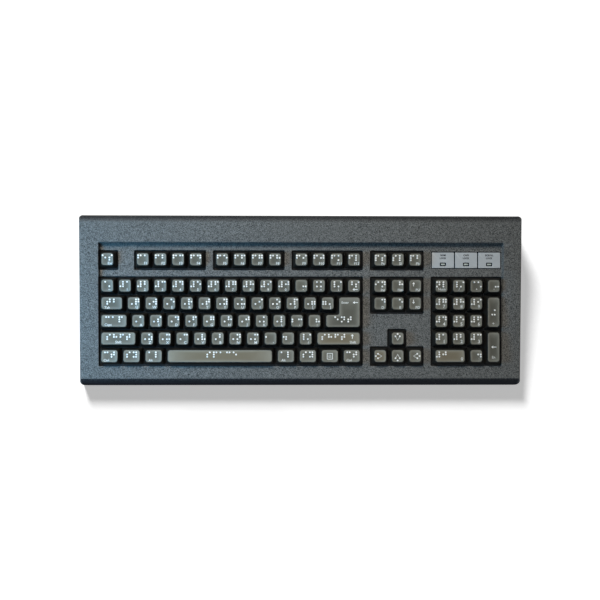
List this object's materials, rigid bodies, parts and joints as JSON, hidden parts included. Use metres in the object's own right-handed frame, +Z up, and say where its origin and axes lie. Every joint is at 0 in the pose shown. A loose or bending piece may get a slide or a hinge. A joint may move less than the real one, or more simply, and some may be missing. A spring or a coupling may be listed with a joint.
{
  "type": "braille keyboard",
  "caption": "Full-size desk keyboard with raised braille dots on sliding spring-return keys, a wedge case with a rear hood, indicator panel and folding tilt feet.",
  "frame": {"origin": "centre of the case's footprint on the table, under the rubber pads", "axes": "+X to the user's right along the key rows, +Y away from the user towards the rear hood, +Z up"},
  "size_m": [0.481, 0.184, 0.0412],
  "materials": {
    "case_plastic": "grained",
    "key_plastic": "satin",
    "guide_plastic": "plain",
    "dome_rubber": "soft",
    "membrane_film": "clear film",
    "sheet_steel": "bare",
    "board_laminate": "lacquered",
    "chip_plastic": "plain",
    "header_plastic": "plain",
    "lamp_resin": "clear",
    "lens_plastic": "milky",
    "plate_plastic": "satin",
    "screw_steel": "plain",
    "wire_steel": "drawn",
    "pad_rubber": "soft"
  },
  "bodies": {
    "case": {"top_case": "case_plastic", "bottom_case": "case_plastic", "key_guide_plate": "guide_plastic", "dome_sheet": "dome_rubber", "upper_membrane": "membrane_film", "membrane_spacer": "membrane_film", "lower_membrane": "membrane_film", "back_plate": "sheet_steel", "controller_board": "board_laminate", "controller_chip": "chip_plastic", "cable_header": "header_plastic", "indicator_lamps": "lamp_resin", "indicator_lenses": "lens_plastic", "indicator_plates": "plate_plastic", "membrane_clamp": "sheet_steel", "case_screws": "screw_steel", "small_screws": "screw_steel", "rubber_pads": "pad_rubber", "cable_gland": "pad_rubber"},
    "escape_key": {"escape_key": "key_plastic"},
    "f1_to_f4_keys": {"f1_to_f4_keys": "key_plastic"},
    "f5_to_f8_keys": {"f5_to_f8_keys": "key_plastic"},
    "f9_to_f12_keys": {"f9_to_f12_keys": "key_plastic"},
    "print_scroll_pause_keys": {"print_scroll_pause_keys": "key_plastic"},
    "left_number_keys": {"left_number_keys": "key_plastic"},
    "right_number_keys": {"right_number_keys": "key_plastic"},
    "backspace_key": {"backspace_key": "key_plastic"},
    "tab_key": {"tab_key": "key_plastic"},
    "upper_left_letter_keys": {"upper_left_letter_keys": "key_plastic"},
    "upper_right_letter_keys": {"upper_right_letter_keys": "key_plastic"},
    "caps_lock_key": {"caps_lock_key": "key_plastic"},
    "home_left_letter_keys": {"home_left_letter_keys": "key_plastic"},
    "home_right_letter_keys": {"home_right_letter_keys": "key_plastic"},
    "enter_key": {"enter_key": "key_plastic"},
    "left_shift_key": {"left_shift_key": "key_plastic"},
    "lower_left_letter_keys": {"lower_left_letter_keys": "key_plastic"},
    "lower_right_letter_keys": {"lower_right_letter_keys": "key_plastic"},
    "right_shift_key": {"right_shift_key": "key_plastic"},
    "left_modifier_keys": {"left_modifier_keys": "key_plastic"},
    "space_bar": {"space_bar": "key_plastic"},
    "right_modifier_keys": {"right_modifier_keys": "key_plastic"},
    "navigation_keys": {"navigation_keys": "key_plastic"},
    "up_arrow_key": {"up_arrow_key": "key_plastic"},
    "left_arrow_key": {"left_arrow_key": "key_plastic"},
    "down_arrow_key": {"down_arrow_key": "key_plastic"},
    "right_arrow_key": {"right_arrow_key": "key_plastic"},
    "number_pad_operator_keys": {"number_pad_operator_keys": "key_plastic"},
    "number_pad_digit_keys": {"number_pad_digit_keys": "key_plastic"},
    "number_pad_zero_key": {"number_pad_zero_key": "key_plastic"},
    "number_pad_plus_key": {"number_pad_plus_key": "key_plastic"},
    "number_pad_enter_key": {"number_pad_enter_key": "key_plastic"},
    "space_bar_wire": {"space_bar_wire": "wire_steel"},
    "left_shift_wire": {"left_shift_wire": "wire_steel"},
    "right_shift_wire": {"right_shift_wire": "wire_steel"},
    "enter_wire": {"enter_wire": "wire_steel"},
    "number_pad_zero_wire": {"number_pad_zero_wire": "wire_steel"},
    "number_pad_plus_wire": {"number_pad_plus_wire": "wire_steel"},
    "number_pad_enter_wire": {"number_pad_enter_wire": "wire_steel"},
    "left_tilt_foot": {"left_tilt_foot": "guide_plastic"},
    "right_tilt_foot": {"right_tilt_foot": "guide_plastic"}
  },
  "joints": [
    {"name": "escape_key_press", "type": "slide", "parent": "case", "child": "escape_key", "axis": [0, 0.0872, -0.9962], "range_m": [0, 0.0038], "stiffness_N_per_m": 140, "springref_m": -0.0008, "deforming": ["dome_sheet"]},
    {"name": "f1_to_f4_keys_press", "type": "slide", "parent": "case", "child": "f1_to_f4_keys", "axis": [0, 0.0872, -0.9962], "range_m": [0, 0.0038], "stiffness_N_per_m": 560, "springref_m": -0.0008, "deforming": ["dome_sheet"]},
    {"name": "f5_to_f8_keys_press", "type": "slide", "parent": "case", "child": "f5_to_f8_keys", "axis": [0, 0.0872, -0.9962], "range_m": [0, 0.0038], "stiffness_N_per_m": 560, "springref_m": -0.0008, "deforming": ["dome_sheet"]},
    {"name": "f9_to_f12_keys_press", "type": "slide", "parent": "case", "child": "f9_to_f12_keys", "axis": [0, 0.0872, -0.9962], "range_m": [0, 0.0038], "stiffness_N_per_m": 560, "springref_m": -0.0008, "deforming": ["dome_sheet"]},
    {"name": "print_scroll_pause_keys_press", "type": "slide", "parent": "case", "child": "print_scroll_pause_keys", "axis": [0, 0.0872, -0.9962], "range_m": [0, 0.0038], "stiffness_N_per_m": 420, "springref_m": -0.0008, "deforming": ["dome_sheet"]},
    {"name": "left_number_keys_press", "type": "slide", "parent": "case", "child": "left_number_keys", "axis": [0, 0.0872, -0.9962], "range_m": [0, 0.0038], "stiffness_N_per_m": 840, "springref_m": -0.0008, "deforming": ["dome_sheet"]},
    {"name": "right_number_keys_press", "type": "slide", "parent": "case", "child": "right_number_keys", "axis": [0, 0.0872, -0.9962], "range_m": [0, 0.0038], "stiffness_N_per_m": 1120, "springref_m": -0.0008, "deforming": ["dome_sheet"]},
    {"name": "backspace_key_press", "type": "slide", "parent": "case", "child": "backspace_key", "axis": [0, 0.0872, -0.9962], "range_m": [0, 0.0038], "stiffness_N_per_m": 140, "springref_m": -0.0008, "deforming": ["dome_sheet"]},
    {"name": "tab_key_press", "type": "slide", "parent": "case", "child": "tab_key", "axis": [0, 0.0872, -0.9962], "range_m": [0, 0.0038], "stiffness_N_per_m": 140, "springref_m": -0.0008, "deforming": ["dome_sheet"]},
    {"name": "upper_left_letter_keys_press", "type": "slide", "parent": "case", "child": "upper_left_letter_keys", "axis": [0, 0.0872, -0.9962], "range_m": [0, 0.0038], "stiffness_N_per_m": 700, "springref_m": -0.0008, "deforming": ["dome_sheet"]},
    {"name": "upper_right_letter_keys_press", "type": "slide", "parent": "case", "child": "upper_right_letter_keys", "axis": [0, 0.0872, -0.9962], "range_m": [0, 0.0038], "stiffness_N_per_m": 980, "springref_m": -0.0008, "deforming": ["dome_sheet"]},
    {"name": "caps_lock_key_press", "type": "slide", "parent": "case", "child": "caps_lock_key", "axis": [0, 0.0872, -0.9962], "range_m": [0, 0.0038], "stiffness_N_per_m": 140, "springref_m": -0.0008, "deforming": ["dome_sheet"]},
    {"name": "home_left_letter_keys_press", "type": "slide", "parent": "case", "child": "home_left_letter_keys", "axis": [0, 0.0872, -0.9962], "range_m": [0, 0.0038], "stiffness_N_per_m": 700, "springref_m": -0.0008, "deforming": ["dome_sheet"]},
    {"name": "home_right_letter_keys_press", "type": "slide", "parent": "case", "child": "home_right_letter_keys", "axis": [0, 0.0872, -0.9962], "range_m": [0, 0.0038], "stiffness_N_per_m": 840, "springref_m": -0.0008, "deforming": ["dome_sheet"]},
    {"name": "enter_key_press", "type": "slide", "parent": "case", "child": "enter_key", "axis": [0, 0.0872, -0.9962], "range_m": [0, 0.0038], "stiffness_N_per_m": 140, "springref_m": -0.0008, "deforming": ["dome_sheet"]},
    {"name": "left_shift_key_press", "type": "slide", "parent": "case", "child": "left_shift_key", "axis": [0, 0.0872, -0.9962], "range_m": [0, 0.0038], "stiffness_N_per_m": 140, "springref_m": -0.0008, "deforming": ["dome_sheet"]},
    {"name": "lower_left_letter_keys_press", "type": "slide", "parent": "case", "child": "lower_left_letter_keys", "axis": [0, 0.0872, -0.9962], "range_m": [0, 0.0038], "stiffness_N_per_m": 700, "springref_m": -0.0008, "deforming": ["dome_sheet"]},
    {"name": "lower_right_letter_keys_press", "type": "slide", "parent": "case", "child": "lower_right_letter_keys", "axis": [0, 0.0872, -0.9962], "range_m": [0, 0.0038], "stiffness_N_per_m": 700, "springref_m": -0.0008, "deforming": ["dome_sheet"]},
    {"name": "right_shift_key_press", "type": "slide", "parent": "case", "child": "right_shift_key", "axis": [0, 0.0872, -0.9962], "range_m": [0, 0.0038], "stiffness_N_per_m": 140, "springref_m": -0.0008, "deforming": ["dome_sheet"]},
    {"name": "left_modifier_keys_press", "type": "slide", "parent": "case", "child": "left_modifier_keys", "axis": [0, 0.0872, -0.9962], "range_m": [0, 0.0038], "stiffness_N_per_m": 420, "springref_m": -0.0008, "deforming": ["dome_sheet"]},
    {"name": "space_bar_press", "type": "slide", "parent": "case", "child": "space_bar", "axis": [0, 0.0872, -0.9962], "range_m": [0, 0.0038], "stiffness_N_per_m": 140, "springref_m": -0.0008, "deforming": ["dome_sheet"]},
    {"name": "right_modifier_keys_press", "type": "slide", "parent": "case", "child": "right_modifier_keys", "axis": [0, 0.0872, -0.9962], "range_m": [0, 0.0038], "stiffness_N_per_m": 560, "springref_m": -0.0008, "deforming": ["dome_sheet"]},
    {"name": "navigation_keys_press", "type": "slide", "parent": "case", "child": "navigation_keys", "axis": [0, 0.0872, -0.9962], "range_m": [0, 0.0038], "stiffness_N_per_m": 840, "springref_m": -0.0008, "deforming": ["dome_sheet"]},
    {"name": "up_arrow_key_press", "type": "slide", "parent": "case", "child": "up_arrow_key", "axis": [0, 0.0872, -0.9962], "range_m": [0, 0.0038], "stiffness_N_per_m": 140, "springref_m": -0.0008, "deforming": ["dome_sheet"]},
    {"name": "left_arrow_key_press", "type": "slide", "parent": "case", "child": "left_arrow_key", "axis": [0, 0.0872, -0.9962], "range_m": [0, 0.0038], "stiffness_N_per_m": 140, "springref_m": -0.0008, "deforming": ["dome_sheet"]},
    {"name": "down_arrow_key_press", "type": "slide", "parent": "case", "child": "down_arrow_key", "axis": [0, 0.0872, -0.9962], "range_m": [0, 0.0038], "stiffness_N_per_m": 140, "springref_m": -0.0008, "deforming": ["dome_sheet"]},
    {"name": "right_arrow_key_press", "type": "slide", "parent": "case", "child": "right_arrow_key", "axis": [0, 0.0872, -0.9962], "range_m": [0, 0.0038], "stiffness_N_per_m": 140, "springref_m": -0.0008, "deforming": ["dome_sheet"]},
    {"name": "number_pad_operator_keys_press", "type": "slide", "parent": "case", "child": "number_pad_operator_keys", "axis": [0, 0.0872, -0.9962], "range_m": [0, 0.0038], "stiffness_N_per_m": 560, "springref_m": -0.0008, "deforming": ["dome_sheet"]},
    {"name": "number_pad_digit_keys_press", "type": "slide", "parent": "case", "child": "number_pad_digit_keys", "axis": [0, 0.0872, -0.9962], "range_m": [0, 0.0038], "stiffness_N_per_m": 1400, "springref_m": -0.0008, "deforming": ["dome_sheet"]},
    {"name": "number_pad_zero_key_press", "type": "slide", "parent": "case", "child": "number_pad_zero_key", "axis": [0, 0.0872, -0.9962], "range_m": [0, 0.0038], "stiffness_N_per_m": 140, "springref_m": -0.0008, "deforming": ["dome_sheet"]},
    {"name": "number_pad_plus_key_press", "type": "slide", "parent": "case", "child": "number_pad_plus_key", "axis": [0, 0.0872, -0.9962], "range_m": [0, 0.0038], "stiffness_N_per_m": 140, "springref_m": -0.0008, "deforming": ["dome_sheet"]},
    {"name": "number_pad_enter_key_press", "type": "slide", "parent": "case", "child": "number_pad_enter_key", "axis": [0, 0.0872, -0.9962], "range_m": [0, 0.0038], "stiffness_N_per_m": 140, "springref_m": -0.0008, "deforming": ["dome_sheet"]},
    {"name": "space_bar_wire_turn", "type": "hinge", "parent": "case", "child": "space_bar_wire", "pos_m": [-0.08811, -0.06567, 0.01874], "axis": [1, 0, 0], "range_deg": [-27.49, 0]},
    {"name": "left_shift_wire_turn", "type": "hinge", "parent": "case", "child": "left_shift_wire", "pos_m": [-0.19764, -0.04669, 0.0204], "axis": [1, 0, 0], "range_deg": [-27.49, 0]},
    {"name": "right_shift_wire_turn", "type": "hinge", "parent": "case", "child": "right_shift_wire", "pos_m": [0.04048, -0.04669, 0.0204], "axis": [1, 0, 0], "range_deg": [-27.49, 0]},
    {"name": "enter_wire_turn", "type": "hinge", "parent": "case", "child": "enter_wire", "pos_m": [0.04524, -0.02772, 0.02206], "axis": [1, 0, 0], "range_deg": [-27.49, 0]},
    {"name": "number_pad_zero_wire_turn", "type": "hinge", "parent": "case", "child": "number_pad_zero_wire", "pos_m": [0.16193, -0.06567, 0.01874], "axis": [1, 0, 0], "range_deg": [-27.49, 0]},
    {"name": "number_pad_plus_wire_turn", "type": "hinge", "parent": "case", "child": "number_pad_plus_wire", "pos_m": [0.21485, -0.01295, 0.02335], "axis": [0, 0.9962, 0.0872], "range_deg": [-27.49, 0]},
    {"name": "number_pad_enter_wire_turn", "type": "hinge", "parent": "case", "child": "number_pad_enter_wire", "pos_m": [0.21485, -0.0509, 0.02003], "axis": [0, 0.9962, 0.0872], "range_deg": [-27.49, 0]},
    {"name": "left_tilt_foot_fold", "type": "hinge", "parent": "case", "child": "left_tilt_foot", "pos_m": [-0.1715, 0.078, 0.006], "axis": [1, 0, 0], "range_deg": [0, 90]},
    {"name": "right_tilt_foot_fold", "type": "hinge", "parent": "case", "child": "right_tilt_foot", "pos_m": [0.1715, 0.078, 0.006], "axis": [1, 0, 0], "range_deg": [0, 90]}
  ],
  "couplings": [
    {"joint": "space_bar_wire_turn", "follows": "space_bar_press", "rad_per_m": -126.21},
    {"joint": "left_shift_wire_turn", "follows": "left_shift_key_press", "rad_per_m": -126.21},
    {"joint": "right_shift_wire_turn", "follows": "right_shift_key_press", "rad_per_m": -126.21},
    {"joint": "enter_wire_turn", "follows": "enter_key_press", "rad_per_m": -126.21},
    {"joint": "number_pad_zero_wire_turn", "follows": "number_pad_zero_key_press", "rad_per_m": -126.21},
    {"joint": "number_pad_plus_wire_turn", "follows": "number_pad_plus_key_press", "rad_per_m": -126.21},
    {"joint": "number_pad_enter_wire_turn", "follows": "number_pad_enter_key_press", "rad_per_m": -126.21}
  ]
}
